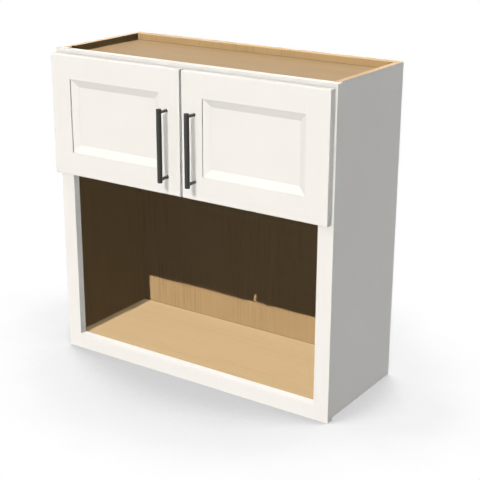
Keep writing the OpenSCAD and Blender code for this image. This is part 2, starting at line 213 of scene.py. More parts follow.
def add_lamp(name, aim, level, color, spread, shadows=True):
    """A sun whose light travels along aim. A level of 1 lights a surface facing it to its own colour."""
    lamp = bpy.data.objects.new(name, bpy.data.lights.new(name, "SUN"))
    lamp.data.energy = level * math.pi
    lamp.data.color = color
    lamp.data.angle = math.radians(spread)
    lamp.data.use_shadow = shadows
    lamp.data.cycles.use_multiple_importance_sampling = False
    lamp.rotation_mode = "QUATERNION"
    lamp.rotation_quaternion = Vector(aim).to_track_quat("-Z", "Y")
    scene.collection.objects.link(lamp)
    return lamp


def downward(elevation, to_left=0):
    """The way that light from ahead of the doors travels. Below an elevation of 0 it shines upwards."""
    level = math.cos(math.radians(elevation))
    turn = math.radians(to_left)
    return (-level * math.sin(turn), level * math.cos(turn), -math.sin(math.radians(elevation)))


from_top = (0, 0, -1)
from_front = (0, 1, 0)
from_back = (0, -1, 0)
from_left = (1, 0, 0)
from_right = (-1, 0, 0)
paint_sun_aim = downward(37, 6)
all_round = 180
warm_white = (1, 0.97, 0.93)
cool_white = (0.985, 0.99, 1)
wood_fill = 0.088
paint_fill = 0.31
wood_lamps = [
    add_lamp("wood_sun", downward(49.5), 1.22, warm_white, 0.5),
    add_lamp("wood_top_fill", from_top, 0.32, warm_white, 1, shadows=False),
    add_lamp("wood_front_fill", from_front, wood_fill, cool_white, all_round, shadows=False),
    add_lamp("wood_back_fill", from_back, wood_fill, cool_white, all_round, shadows=False),
    add_lamp("wood_back_sun", from_back, 0.5, warm_white, 1),
]
paint_lamps = [
    add_lamp("paint_sun", paint_sun_aim, 0.15, warm_white, 8),
    add_lamp("pull_shadow_sun", paint_sun_aim, 0.41, warm_white, 4),
    add_lamp("paint_soft_sun", paint_sun_aim, 0.165, warm_white, 1, shadows=False),
    add_lamp("paint_top_fill", from_top, 0.265, warm_white, 1, shadows=False),
    add_lamp("paint_ahead_fill", downward(-8), 0.17, warm_white, 1),
    add_lamp("paint_front_fill", from_front, paint_fill * 0.35, cool_white, all_round),
    add_lamp("paint_front_glow", from_front, paint_fill * 0.42, cool_white, all_round, shadows=False),
    add_lamp("paint_back_glow", from_back, paint_fill * 0.95, cool_white, all_round),
    add_lamp("paint_right_fill", from_right, 0.05, cool_white, 20),
    add_lamp("paint_left_fill", from_left, 0.05, cool_white, 20),
    add_lamp("paint_back_sun", from_back, 0.5, warm_white, 1),
]
right_fill = add_lamp("right_fill", from_right, 0.285, cool_white, 1, shadows=False)
left_fill = add_lamp("left_fill", from_left, 0.285, cool_white, 1, shadows=False)
stile_fill = add_lamp("stile_fill", from_right, 0.075, warm_white, 1, shadows=False)
left_gap_fill = add_lamp("left_gap_fill", from_right, 0.20, cool_white, 1, shadows=False)
right_gap_fill = add_lamp("right_gap_fill", from_left, 0.20, cool_white, 1, shadows=False)
post_fill = add_lamp("post_fill", from_top, 2.4, warm_white, 1, shadows=False)
rail_fill = add_lamp("rail_fill", from_top, 0.16, cool_white, 1, shadows=False)


# End panels
# Two sheets of half-inch plywood, painted outside and clear-coated maple inside. Saw cuts across the inner
# face hold the flat panels, one down the back holds the back panel, and the front edge sits in the frame.
mm = 0.001
cut_arris = 0.3 * mm
groove_play = 0.5 * mm
ply_count = 5
sharp_turn = math.radians(11)
flat_panels = ("microwave_floor", "cupboard_deck", "top_panel")


def rounded(corners, steps=4):
    """A closed outline through corners (u, v, radius), each with an arc of its radius."""
    points = []
    for index, (u, v, radius) in enumerate(corners):
        here = Vector((u, v))
        if not radius:
            points.append(here)
            continue
        before = (Vector(corners[index - 1][:2]) - here).normalized()
        after = (Vector(corners[(index + 1) % len(corners)][:2]) - here).normalized()
        half = before.angle(after) / 2
        centre = here + (before + after).normalized() * radius / math.sin(half)
        start = here + before * radius / math.tan(half) - centre
        turn = start.angle_signed(here + after * radius / math.tan(half) - centre)
        for step in range(steps + 1):
            arm = start.copy()
            arm.rotate(Matrix.Rotation(-turn * step / steps, 2))
            points.append(centre + arm)
    return points


def prism(outline, axis, low, high):
    """A solid from low to high along an axis, with its outline drawn across the two axes that follow."""
    shape = bmesh.new()
    ends = []
    for place in (low, high):
        ring = []
        for u, v in outline:
            spot = [0, 0, 0]
            spot[axis] = place
            spot[(axis + 1) % 3] = u
            spot[(axis + 2) % 3] = v
            ring.append(shape.verts.new(spot))
        ends.append(ring)
    for index in range(len(outline)):
        after = (index + 1) % len(outline)
        shape.faces.new((ends[0][index], ends[0][after], ends[1][after], ends[1][index]))
    shape.faces.new(ends[1])
    shape.faces.new(ends[0][::-1])
    bmesh.ops.recalc_face_normals(shape, faces=shape.faces[:])
    return shape


def block(low, high, arris=0.0):
    """A block between two corners, with its edges eased by arris."""
    shape = bmesh.new()
    bmesh.ops.create_cube(shape, size=1)
    for vert in shape.verts:
        vert.co = Vector(
            start + (stop - start) * (place + 0.5) for start, stop, place in zip(low, high, vert.co)
        )
    if arris:
        bmesh.ops.bevel(
            shape,
            geom=shape.edges[:],
            offset=arris,
            segments=2,
            profile=0.5,
            affect="EDGES",
            clamp_overlap=True,
        )
    return shape


def new_piece(name, shape, *materials):
    """Turns a shape into an object of the scene."""
    mesh = bpy.data.meshes.new(name)
    shape.to_mesh(mesh)
    shape.free()
    for material in materials:
        mesh.materials.append(material)
    piece = bpy.data.objects.new(name, mesh)
    scene.collection.objects.link(piece)
    return piece


def carve(piece, *tools, operation="DIFFERENCE"):
    """Cuts the tools' shapes out of a piece, or with INTERSECT keeps only what lies inside them."""
    cutters = [new_piece("cutter", tool) for tool in tools]
    for cutter in cutters:
        cut = piece.modifiers.new("cut", "BOOLEAN")
        cut.operation = operation
        cut.solver = "EXACT"
        cut.object = cutter
    made = bpy.data.meshes.new_from_object(piece.evaluated_get(bpy.context.evaluated_depsgraph_get()))
    piece.modifiers.clear()
    piece.data = made
    for cutter in cutters:
        bpy.data.objects.remove(cutter)


def fit(piece, node):
    """Puts a piece in its node's place, on its body, with flat faces kept flat and round ones smooth."""
    piece.data.name = piece.name
    piece.data.shade_smooth()
    piece.data.set_sharp_from_angle(angle=sharp_turn)
    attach(piece, frame["nodes"][node]["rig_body"])
    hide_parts(node)


def on_left(piece, name):
    """A mirrored copy of a right-hand piece."""
    copy = bpy.data.objects.new(name, piece.data.copy())
    copy.data.transform(Matrix.Scale(-1, 4, (1, 0, 0)))
    copy.data.flip_normals()
    scene.collection.objects.link(copy)
    return copy


def add_surface(tree, **values):
    """Ends a material's tree in one Principled surface."""
    names = {name.replace("_", " ").title().replace("Ior", "IOR"): value for name, value in values.items()}
    surface = tree.node("ShaderNodeBsdfPrincipled", values=names)
    tree.node("ShaderNodeOutputMaterial", values={"Surface": surface})


def noise(tree, place, scale, detail=2.0, roughness=0.5):
    """Soft noise from 0 to 1, stretched by a scale for each axis."""
    stretched = tree.node("ShaderNodeMapping", values={"Vector": place, "Scale": scale})
    values = {"Vector": stretched, "Scale": 1.0, "Detail": detail, "Roughness": roughness}
    return tree.node("ShaderNodeTexNoise", values=values, result=0)


def mix_color(tree, share, first, second):
    """A colour between two, nearer to the second as the share goes from 0 to 1."""
    return tree.node(
        "ShaderNodeMix",
        {"data_type": "RGBA"},
        {"Factor_Float": share, "A_Color": first, "B_Color": second},
        "Result_Color",
    )


def bump(tree, height, distance, strength):
    """A surface that rises by distance where height is 1."""
    values = {"Height": height, "Distance": distance, "Strength": strength}
    return tree.node("ShaderNodeBump", values=values, result="Normal")


def white_paint():
    """Satin white paint: a faint orange-peel skin, with a slight drift in tone and gloss."""
    material, tree = start_material("satin_white_paint")
    place = tree.node("ShaderNodeTexCoord", result="Object")
    drift = noise(tree, place, (9, 9, 9), 2)
    peel = noise(tree, place, (420, 420, 420), 2, 0.45)
    brushed = noise(tree, place, (60, 60, 60), 3)
    add_surface(
        tree,
        base_color=mix_color(tree, drift, (0.905, 0.885, 0.848, 1), (0.935, 0.915, 0.878, 1)),
        roughness=0.34 + 0.10 * brushed,
        specular_ior_level=0.3,
        normal=bump(tree, peel, 0.04 * mm, 0.35),
    )
    return material


def maple(name, light, dark, along, figure, joints=()):
    """Clear-coated maple veneer with its grain along one axis, and painted shade as thin dark lines at some
    heights.
    """
    material, tree = start_material(name)
    place = tree.node("ShaderNodeTexCoord", result="Object")

    def grain(across, length, detail=2.0, roughness=0.5):
        scale = [across] * 3
        scale[along] = length
        return noise(tree, place, tuple(scale), detail, roughness)

    bands = grain(16, 0.8)
    groups = smooth_step(tree, grain(9, 1.5), 0.42, 0.62)
    streaks = smooth_step(tree, grain(310, 5, 3, 0.6), 0.50, 0.66)
    flecks = smooth_step(tree, grain(900, 45, 1), 0.64, 0.74)
    ripple = grain(14, 42)
    dark_share = 0.28 * bands + figure * (0.12 + 0.42 * groups) * streaks + 0.16 * flecks + 0.10 * ripple
    # Painted shade: a thin dark line along each corner where a flat board meets this face.
    for height in joints:
        level = tree.node("ShaderNodeSeparateXYZ", values={"Vector": place}, result="Z")
        away = tree.node("ShaderNodeMath", {"operation": "ABSOLUTE"}, {"Value": level - height})
        dark_share = dark_share + 0.9 * (1 - smooth_step(tree, away, 0.6 * mm, 1.8 * mm))
    add_surface(
        tree,
        base_color=mix_color(tree, dark_share, light, dark),
        roughness=0.40 + 0.10 * streaks + 0.05 * bands,
        specular_ior_level=0.06,
        normal=bump(tree, streaks + flecks, -0.03 * mm, 0.5),
    )
    return material


def ply_edge(name, axis, start, ply_t):
    """The sawn edge of plywood: plies of turned grain from start on, with thin glue lines."""
    material, tree = start_material(name)
    place = tree.node("ShaderNodeTexCoord", result="Object")
    spot = tree.node("ShaderNodeSeparateXYZ", values={"Vector": place}, result="XYZ"[axis])
    across = tree.node("ShaderNodeMath", {"operation": "ABSOLUTE"}, {"Value": spot})
    layer = (across - start) / ply_t
    odd = tree.maths("PINGPONG", tree.node("ShaderNodeMath", {"operation": "FLOOR"}, {"Value": layer}), 1)
    to_glue = tree.maths("PINGPONG", layer, 0.5)
    glue = 1 - smooth_step(tree, to_glue, 0.0, 0.09)
    fibres = noise(tree, place, (900, 60, 60), 3, 0.6)
    pores = smooth_step(tree, noise(tree, place, (1500, 700, 700), 2), 0.56, 0.72)
    tone = mix_color(tree, odd, (0.70, 0.50, 0.29, 1), (0.57, 0.38, 0.20, 1))
    dark_share = 0.35 * glue + 0.25 * fibres + 0.25 * pores * odd
    add_surface(
        tree,
        base_color=mix_color(tree, dark_share, tone, (0.30, 0.18, 0.08, 1)),
        roughness=0.62 + 0.12 * fibres,
        normal=bump(tree, fibres - pores, 0.08 * mm, 0.5),
    )
    return material


paint = white_paint()
inside_maple = maple("maple_inside", (0.60, 0.40, 0.18, 1), (0.43, 0.26, 0.11, 1), along=2, figure=0.6)
end_low, end_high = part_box("right_end_panel")
end_edge = ply_edge("end_panel_plies", 0, end_low.x, (end_high.x - end_low.x) / ply_count)
back_low, back_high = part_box("back_panel")
end_board = new_piece("right_end_board", block(end_low, end_high, cut_arris), paint, inside_maple, end_edge)
saw_cuts = [
    block((end_low.x - mm, back_low.y, -mm), (back_high.x + groove_play, back_high.y, end_high.z + mm))
]
for node in flat_panels:
    low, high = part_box(node)
    saw_cuts.append(block((end_low.x - mm, low.y, low.z), (high.x + groove_play, high.y, high.z)))
carve(end_board, *saw_cuts)
for face in end_board.data.polygons:
    if face.normal.x > 0.3:
        face.material_index = 0
    elif face.normal.x < -0.6 and face.center.x < end_low.x + mm:
        face.material_index = 1
    else:
        face.material_index = 2
left_end_board = on_left(end_board, "left_end_board")
fit(end_board, "right_end_panel")
fit(left_end_board, "left_end_panel")


# Back panel and hang rails
# A thin maple-faced back slides into the end panels' grooves. Two plywood rails stand behind it at the top
# and bottom, and the wall screws go through the top one.
board_tops = [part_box(node)[1].z for node in flat_panels]
back_light = (0.61, 0.41, 0.205, 1)
back_dark = (0.40, 0.25, 0.11, 1)
# The back panel gets painted shade as thin dark lines in the corners at the flat boards' tops.
back_maple = maple("maple_back", back_light, back_dark, along=2, figure=0.8, joints=board_tops)
rear_maple = maple("maple_rear", back_light, back_dark, along=2, figure=0.8)
hang_rail_maple = maple("maple_rail", (0.66, 0.46, 0.24, 1), (0.42, 0.25, 0.11, 1), along=0, figure=0.7)
wall_hole_r = 2.5 * mm
wall_hole_x = 203.2 * mm
wall_hole_z = 711.2 * mm
wall_holes = [(-wall_hole_x, wall_hole_z), (wall_hole_x, wall_hole_z)]


def rod(centre, axis, radius, low, high, sides=32):
    """A round bar along an axis, with its centre given on the two axes that follow."""
    outline = []
    for step in range(sides):
        turn = 2 * math.pi * step / sides
        outline.append((centre[0] + radius * math.cos(turn), centre[1] + radius * math.sin(turn)))
    return prism(outline, axis, low, high)


for node, name, material in (
    ("back_panel", "back_board", back_maple),
    ("top_hang_rail", "top_hang_strip", hang_rail_maple),
    ("bottom_hang_rail", "bottom_hang_strip", hang_rail_maple),
):
    low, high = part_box(node)
    board = new_piece(name, block(low, high, cut_arris), material, rear_maple)
    for face in board.data.polygons:
        if face.normal.y > 0.6 and node == "back_panel":
            face.material_index = 1
    if node != "bottom_hang_rail":
        carve(board, *[rod((z, x), 1, wall_hole_r, low.y - mm, high.y + mm) for x, z in wall_holes])
    fit(board, node)


# Flat panels
# Three sheets of plywood run between the end panels, seated in their grooves: the bay's floor, the deck
# that divides the bay from the cupboard, and the top. The grain runs from side to side.
floor_maple = maple("maple_floor", (0.535, 0.39, 0.221, 1), (0.41, 0.27, 0.13, 1), along=0, figure=0.4)
top_maple = maple("maple_top", (0.364, 0.248, 0.130, 1), (0.291, 0.188, 0.090, 1), along=0, figure=0.3)
for node, name, material in (
    ("microwave_floor", "bay_floor_board", floor_maple),
    ("cupboard_deck", "deck_board", floor_maple),
    ("top_panel", "top_board", top_maple),
):
    low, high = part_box(node)
    plies = ply_edge(name + "_plies", 2, low.z, (high.z - low.z) / ply_count)
    board = new_piece(name, block(low, high, cut_arris), material, plies)
    for face in board.data.polygons:
        if abs(face.normal.z) < 0.6:
            face.material_index = 1
    fit(board, node)


# Face frame
# Two stiles and three rails of painted hardwood. The rails butt against the stiles, pulled tight by pocket
# screws from behind, and each stile has a groove down its back for the end panel.
frame_arris = 0.5 * mm
butt_arris = 0.12 * mm
pocket_turn = math.radians(15)
pocket_r = 4.75 * mm
pocket_floor = 10 * mm
pocket_run = 70 * mm
pocket_bore_r = 1.9 * mm
stile_low, stile_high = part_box("right_frame_stile")
frame_rails = ("bottom_frame_rail", "middle_frame_rail", "top_frame_rail")


def framed_bar(low, high, axis, arris, end_arris):
    """A sawn bar: its long edges are eased, and its ends hardly at all."""
    u = (axis + 1) % 3
    v = (axis + 2) % 3
    spots = ((low[u], low[v]), (high[u], low[v]), (high[u], high[v]), (low[u], high[v]))
    corners = [(across, up, arris) for across, up in spots]
    shape = prism(rounded(corners, 3), axis, low[axis], high[axis])
    ends = [edge for edge in shape.edges if abs(edge.verts[0].co[axis] - edge.verts[1].co[axis]) < mm / 100]
    bmesh.ops.bevel(shape, geom=ends, offset=end_arris, segments=1, affect="EDGES")
    return shape


def pocket_seats(side, low_z, high_z):
    """Where a rail's two pocket screws enter the stile, and the way that each points, out of the wood."""
    middle_y = (stile_low.y + stile_high.y) / 2
    rise = (high_z - low_z) / 4
    aim = Vector((-side * math.cos(pocket_turn), math.sin(pocket_turn), 0))
    return [(Vector((side * stile_low.x, middle_y, z)), aim) for z in (low_z + rise, high_z - rise)]


def rod_between(start, stop, radius, sides=32):
    """A round bar from one point to another."""
    run = stop - start
    shape = rod((0, 0), 2, radius, 0, run.length, sides)
    place = Matrix.Translation(start) @ run.to_track_quat("Z", "Y").to_matrix().to_4x4()
    bmesh.ops.transform(shape, matrix=place, verts=shape.verts)
    return shape


end_slot = block(
    (end_low.x, end_low.y, -mm), (end_high.x, stile_high.y + mm, stile_high.z + mm)
)
stile = new_piece("right_stile", framed_bar(stile_low, stile_high, 2, frame_arris, butt_arris), paint)
carve(stile, end_slot)
left_stile = on_left(stile, "left_stile")
fit(stile, "right_frame_stile")
fit(left_stile, "left_frame_stile")
for node in frame_rails:
    low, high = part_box(node)
    rail = new_piece(node.replace("_frame", ""), framed_bar(low, high, 0, frame_arris, butt_arris), paint)
    pockets = []
    for side in (-1, 1):
        for seat, aim in pocket_seats(side, low.z, high.z):
            floor_place = seat + aim * pocket_floor
            pockets.append(rod_between(floor_place, seat + aim * pocket_run, pocket_r))
            pockets.append(rod_between(seat - aim * mm, floor_place + aim * mm, pocket_bore_r, 16))
    carve(rail, *pockets)
    fit(rail, node)


# Pocket screws
# Two hold each end of a frame rail, sunk at a slant from behind. These and all later screws are zinc-plated
# steel with a cross recess, from one pattern of screw that is set on points with the way each one faces.
zinc, tree = start_material("zinc_plate")
place = tree.node("ShaderNodeTexCoord", result="Object")
grain_noise = noise(tree, place, (700, 700, 700), 3, 0.6)
spangle = noise(tree, place, (120, 120, 120), 2)
add_surface(
    tree,
    base_color=mix_color(tree, spangle, (0.50, 0.51, 0.52, 1), (0.66, 0.66, 0.64, 1)),
    metallic=1.0,
    roughness=0.28 + 0.22 * grain_noise,
    normal=bump(tree, grain_noise, 0.02 * mm, 0.4),
)


def screw_tree():
    """The nodes that set one screw on every point: head, cross recess, shank, point and thread."""
    group = bpy.data.node_groups.new("screws", "GeometryNodeTree")
    group.interface.new_socket(name="Seats", in_out="INPUT", socket_type="NodeSocketGeometry")
    sizes = ("Head radius", "Head height", "Shank radius", "Shank length", "Thread depth", "Thread pitch")
    for name in sizes:
        group.interface.new_socket(name=name, in_out="INPUT", socket_type="NodeSocketFloat")
    group.interface.new_socket(name="Material", in_out="INPUT", socket_type="NodeSocketMaterial")
    group.interface.new_socket(name="Geometry", in_out="OUTPUT", socket_type="NodeSocketGeometry")
    tree = Nodes(group)
    entry = group.nodes.new("NodeGroupInput")
    inputs = {socket.name: Nodes(group, socket) for socket in entry.outputs if socket.name}
    head_r = inputs["Head radius"]
    head_h = inputs["Head height"]
    shank_r = inputs["Shank radius"]
    shank_l = inputs["Shank length"]
    thread = inputs["Thread depth"]

    def vector(x=0.0, y=0.0, z=0.0):
        return tree.node("ShaderNodeCombineXYZ", values={"X": x, "Y": y, "Z": z})

    def moved(shape, z, turn=(0, 0, 0)):
        values = {"Geometry": shape, "Translation": vector(z=z), "Rotation": turn}
        return tree.node("GeometryNodeTransform", values=values)

    head = tree.node(
        "GeometryNodeMeshCylinder",
        {"fill_type": "TRIANGLE_FAN"},
        {"Vertices": 32, "Side Segments": 2, "Fill Segments": 5, "Radius": head_r, "Depth": head_h},
    )
    spot = {"Vector": tree.node("GeometryNodeInputPosition")}
    x, y, z = [tree.node("ShaderNodeSeparateXYZ", values=spot, result=letter) for letter in "XYZ"]
    share = (x * x + y * y) / (head_r * head_r)
    is_top = tree.maths("GREATER_THAN", z, head_h * 0.25)
    rim_drop = 0.55
    lowered = share * share * is_top * head_h * -rim_drop
    head = tree.node("GeometryNodeSetPosition", values={"Geometry": head, "Offset": vector(z=lowered)})
    head = moved(head, head_h * 0.5)
    recess_l = head_r * 1.24
    recess_w = recess_l * 0.21
    recess_h = head_h * 1.1
    bars = [
        tree.node("GeometryNodeMeshCube", values={"Size": vector(recess_l, recess_w, recess_h)}),
        tree.node("GeometryNodeMeshCube", values={"Size": vector(recess_w, recess_l, recess_h)}),
    ]
    cross = moved(tree.node("GeometryNodeJoinGeometry", values={"Geometry": bars}), head_h)
    head = tree.node(
        "GeometryNodeMeshBoolean",
        {"operation": "DIFFERENCE", "solver": "EXACT"},
        {"Mesh 1": head, "Mesh 2": cross},
    )
    core = shank_r - thread
    point_l = shank_r * 2
    straight_l = shank_l - point_l
    coil_l = shank_l * 0.7
    shank = tree.node(
        "GeometryNodeMeshCylinder",
        values={"Vertices": 20, "Side Segments": 1, "Fill Segments": 1, "Radius": core, "Depth": straight_l},
    )
    shank = moved(shank, straight_l * -0.5)
    point = tree.node(
        "GeometryNodeMeshCone",
        values={"Vertices": 20, "Radius Top": shank_r * 0.08, "Radius Bottom": core, "Depth": point_l},
    )
    point = moved(point, straight_l * -1, (math.pi, 0, 0))
    turns = coil_l / inputs["Thread pitch"]
    coil = tree.node(
        "GeometryNodeCurveSpiral",
        values={
            "Resolution": 16,
            "Rotations": turns,
            "Start Radius": core,
            "End Radius": core,
            "Height": coil_l,
        },
    )
    ridge = tree.node("GeometryNodeCurvePrimitiveCircle", values={"Resolution": 4, "Radius": thread})
    coil = tree.node(
        "GeometryNodeCurveToMesh", values={"Curve": coil, "Profile Curve": ridge, "Fill Caps": True}
    )
    coil = moved(coil, shank_l * -0.93)
    screw = tree.node("GeometryNodeJoinGeometry", values={"Geometry": [head, shank, point, coil]})
    aim = tree.node("GeometryNodeInputNamedAttribute", {"data_type": "FLOAT_VECTOR"}, {"Name": "aim"})
    upright = tree.node("FunctionNodeAlignRotationToVector", {"axis": "Z"}, {"Vector": aim})
    spin = tree.node(
        "FunctionNodeRandomValue", {"data_type": "FLOAT"}, {"Max_001": math.pi, "Seed": 7}, "Value_001"
    )
    own_turn = tree.node("FunctionNodeEulerToRotation", values={"Euler": vector(z=spin)})
    turned = tree.node(
        "FunctionNodeRotateRotation",
        {"rotation_space": "LOCAL"},
        {"Rotation": upright, "Rotate By": own_turn},
    )
    placed = tree.node(
        "GeometryNodeInstanceOnPoints",
        values={"Points": inputs["Seats"], "Instance": screw, "Rotation": turned},
    )
    real = tree.node("GeometryNodeRealizeInstances", values={"Geometry": placed})
    dressed = tree.node(
        "GeometryNodeSetMaterial", values={"Geometry": real, "Material": inputs["Material"]}
    )
    leave = group.nodes.new("NodeGroupOutput")
    group.links.new(dressed.socket, leave.inputs["Geometry"])
    return group


screw_nodes = screw_tree()


def add_screws(name, seats, head_r, head_h, shank_r, shank_l):
    """Screws at seats, each a place under the head and the way that the head faces, as one plain mesh."""
    mesh = bpy.data.meshes.new(name)
    mesh.from_pydata([seat for seat, aim in seats], [], [])
    aims = mesh.attributes.new("aim", "FLOAT_VECTOR", "POINT")
    for index, (seat, aim) in enumerate(seats):
        aims.data[index].vector = aim
    piece = bpy.data.objects.new(name, mesh)
    scene.collection.objects.link(piece)
    pattern = piece.modifiers.new("screws", "NODES")
    pattern.node_group = screw_nodes
    values = {
        "Head radius": head_r,
        "Head height": head_h,
        "Shank radius": shank_r,
        "Shank length": shank_l,
        "Thread depth": shank_r * 0.25,
        "Thread pitch": shank_r * 1.1,
        "Material": zinc,
    }
    for socket in screw_nodes.interface.items_tree:
        if socket.name in values and socket.in_out == "INPUT":
            pattern[socket.identifier] = values[socket.name]
    made = bpy.data.meshes.new_from_object(piece.evaluated_get(bpy.context.evaluated_depsgraph_get()))
    piece.modifiers.clear()
    piece.data = made
    return piece


pocket_screw_bite = 22 * mm
seats = []
for node in frame_rails:
    low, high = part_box(node)
    for side in (-1, 1):
        for seat, aim in pocket_seats(side, low.z, high.z):
            seats.append((seat + aim * pocket_floor, aim))
pocket_screws = add_screws(
    "pocket_screws",
    seats,
    head_r=3.9 * mm,
    head_h=2.5 * mm,
    shank_r=pocket_bore_r,
    shank_l=pocket_screw_bite + pocket_floor,
)
fit(pocket_screws, "frame_pocket_screws")


# Hinges
# Concealed hinges of nickel-plated stamped steel: a base screwed to the stile's inner edge, a cup let into
# the door's back, and a bent arm that turns on a pin between the base's two ears and on one in the cup.
nickel, tree = start_material("nickel_plate")
place = tree.node("ShaderNodeTexCoord", result="Object")
rolled = noise(tree, place, (160, 160, 900), 3, 0.55)
smudge = noise(tree, place, (70, 70, 70), 2)
add_surface(
    tree,
    base_color=mix_color(tree, smudge, (0.56, 0.545, 0.51, 1), (0.70, 0.685, 0.65, 1)),
    metallic=1.0,
    roughness=0.22 + 0.20 * rolled,
    normal=bump(tree, rolled, 0.012 * mm, 0.4),
)
stamped_arris = 0.25 * mm
pin_arris = 0.1 * mm


def stamped_copy(node, name, arris):
    """A merged copy of a node's own shape with its edges eased, as a press leaves them."""
    shape = bmesh.new()
    shape.from_mesh(frame["nodes"][node].data)
    bmesh.ops.remove_doubles(shape, verts=shape.verts, dist=mm / 1000)
    bmesh.ops.dissolve_limit(shape, angle_limit=math.radians(1), verts=shape.verts, edges=shape.edges)
    bmesh.ops.recalc_face_normals(shape, faces=shape.faces[:])
    sharp = [edge for edge in shape.edges if edge.is_manifold and edge.calc_face_angle() > math.radians(35)]
    bmesh.ops.bevel(
        shape, geom=sharp, offset=arris, segments=2, profile=0.5, affect="EDGES", clamp_overlap=True
    )
    return new_piece(name, shape, nickel)


for side in ("left", "right"):
    for level in ("upper", "lower"):
        base = stamped_copy(f"{side}_{level}_hinge_base", f"{side}_{level}_base_plate", stamped_arris)
        fit(base, f"{side}_{level}_hinge_base")
        link = stamped_copy(f"{side}_{level}_hinge_link", f"{side}_{level}_arm", stamped_arris)
        fit(link, f"{side}_{level}_hinge_link")
        cup = stamped_copy(f"{side}_{level}_hinge_cup", f"{side}_{level}_cup", stamped_arris)
        fit(cup, f"{side}_{level}_hinge_cup")
    for end in ("base", "cup"):
        pins = stamped_copy(f"{side}_hinge_{end}_pins", f"{side}_{end}_pivots", pin_arris)
        fit(pins, f"{side}_hinge_{end}_pins")


# Doors
# Each is a stile-and-rail door in painted hardwood: the rails' ends are cut to lie over the stiles' bevels,
# and a flat panel floats in a groove all round.
door_face_w = 56.1 * mm
bevel_w = 18 * mm
bevel_step = 3 * mm
bevel_depth = 9 * mm
panel_recess = 9.4 * mm
panel_groove_w = 6.35 * mm
panel_groove = 9.5 * mm
door_edge_r = 2 * mm
bevel_arris = 0.35 * mm
panel_arris = 0.8 * mm
member_w = door_face_w + bevel_w
door_low = Vector(map(min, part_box("right_door_pull_stile")[0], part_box("right_door_bottom_rail")[0]))
door_high = Vector(map(max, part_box("right_door_hinge_stile")[1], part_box("right_door_top_rail")[1]))
door_t = door_high.y - door_low.y


def member_outline(outer, inward):
    """The section of a stile or rail, drawn from the door's outer edge inward and from its face back."""
    corners = [
        (0, 0, door_edge_r),
        (door_face_w, 0, bevel_arris),
        (door_face_w, bevel_step, 0),
        (member_w, bevel_depth, bevel_arris),
        (member_w, panel_recess, 0),
        (member_w - panel_groove, panel_recess, 0),
        (member_w - panel_groove, panel_recess + panel_groove_w, 0),
        (member_w, panel_recess + panel_groove_w, 0),
        (member_w, door_t, bevel_arris),
        (0, door_t, door_edge_r),
    ]
    return [(outer + inward * away, door_low.y + depth, radius) for away, depth, radius in corners]


def stile_shape(outer, inward):
    """A stile over the door's whole height, before its ends are rounded."""
    return prism(rounded(member_outline(outer, inward)), 2, door_low.z, door_high.z)


def rail_shape(outer, inward):
    """A rail that reaches over the stiles' bevels, before its ends are cut to fit them."""
    corners = [(y, z, radius) for z, y, radius in member_outline(outer, inward)]
    low_x = door_low.x + door_face_w
    return prism(rounded(corners), 0, low_x, door_high.x - door_face_w)


def door_slab():
    """The door's outline seen from the side, with its top and bottom edges rounded."""
    low = door_low
    high = door_high
    spots = ((low.y, low.z), (high.y, low.z), (high.y, high.z), (low.y, high.z))
    return prism(rounded([(y, z, door_edge_r) for y, z in spots]), 0, low.x - mm, high.x + mm)


cup_depth = 11.8 * mm
cup_bores = []
for level in ("upper", "lower"):
    low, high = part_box(f"right_{level}_hinge_cup")
    cup_middle = (low + high) / 2
    cup_bores.append(cup_middle.z)
cup_r = 17.5 * mm
cup_tab = 7.8 * mm
cup_x = door_high.x - cup_tab - cup_r
hinge_stile = new_piece("right_door_outer_stile", stile_shape(door_high.x, -1), paint)
carve(hinge_stile, door_slab(), operation="INTERSECT")
cup_floor_y = door_high.y - cup_depth
carve(hinge_stile, *[rod((z, cup_x), 1, cup_r, cup_floor_y, door_high.y + mm, 64) for z in cup_bores])
pull_stile = new_piece("right_door_inner_stile", stile_shape(door_low.x, 1), paint)
carve(pull_stile, door_slab(), operation="INTERSECT")
door_pieces = [
    ("door_hinge_stile", "door_outer_stile", hinge_stile),
    ("door_pull_stile", "door_inner_stile", pull_stile),
]
for word, outer, inward in (("top", door_high.z, -1), ("bottom", door_low.z, 1)):
    rail = new_piece(f"right_door_{word}_bar", rail_shape(outer, inward), paint)
    carve(rail, stile_shape(door_high.x, -1), stile_shape(door_low.x, 1))
    door_pieces.append((f"door_{word}_rail", f"door_{word}_bar", rail))
panel_low, panel_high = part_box("right_door_panel")
door_panel = new_piece("right_door_flat_panel", block(panel_low, panel_high, panel_arris), paint)
door_pieces.append(("door_panel", "door_flat_panel", door_panel))
for node, name, piece in door_pieces:
    left = on_left(piece, "left_" + name)
    fit(piece, "right_" + node)
    fit(left, "left_" + node)


# Hinge screws
# Each hinge base has two zinc-plated screws into the stile's edge, above and below its arm. Each cup has two
# shorter ones into the door's back.
base_plate_t = 2.2 * mm
base_screw_back = 11 * mm
base_screw_rise = 12 * mm
cup_screw_rise = 22.5 * mm
cup_screw_in = 9.5 * mm
for side, sign in (("left", -1), ("right", 1)):
    seats = []
    for level in ("upper", "lower"):
        low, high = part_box(f"{side}_{level}_hinge_base")
        middle_z = (low.z + high.z) / 2
        for z in (middle_z - base_screw_rise, middle_z + base_screw_rise):
            seat = Vector((sign * (stile_low.x - base_plate_t), stile_low.y + base_screw_back, z))
            seats.append((seat, Vector((-sign, 0, 0))))
    base_screws = add_screws(
        f"{side}_base_screws", seats, head_r=3.6 * mm, head_h=1.8 * mm, shank_r=1.9 * mm, shank_l=17 * mm
    )
    fit(base_screws, f"{side}_hinge_base_screws")
    seats = []
    for middle_z in cup_bores:
        for z in (middle_z - cup_screw_rise, middle_z + cup_screw_rise):
            seats.append((Vector((sign * (cup_x - cup_screw_in), door_high.y, z)), Vector((0, 1, 0))))
    cup_screws = add_screws(
        f"{side}_cup_screws", seats, head_r=3.2 * mm, head_h=1.2 * mm, shank_r=1.75 * mm, shank_l=12 * mm
    )
    fit(cup_screws, f"{side}_hinge_cup_screws")


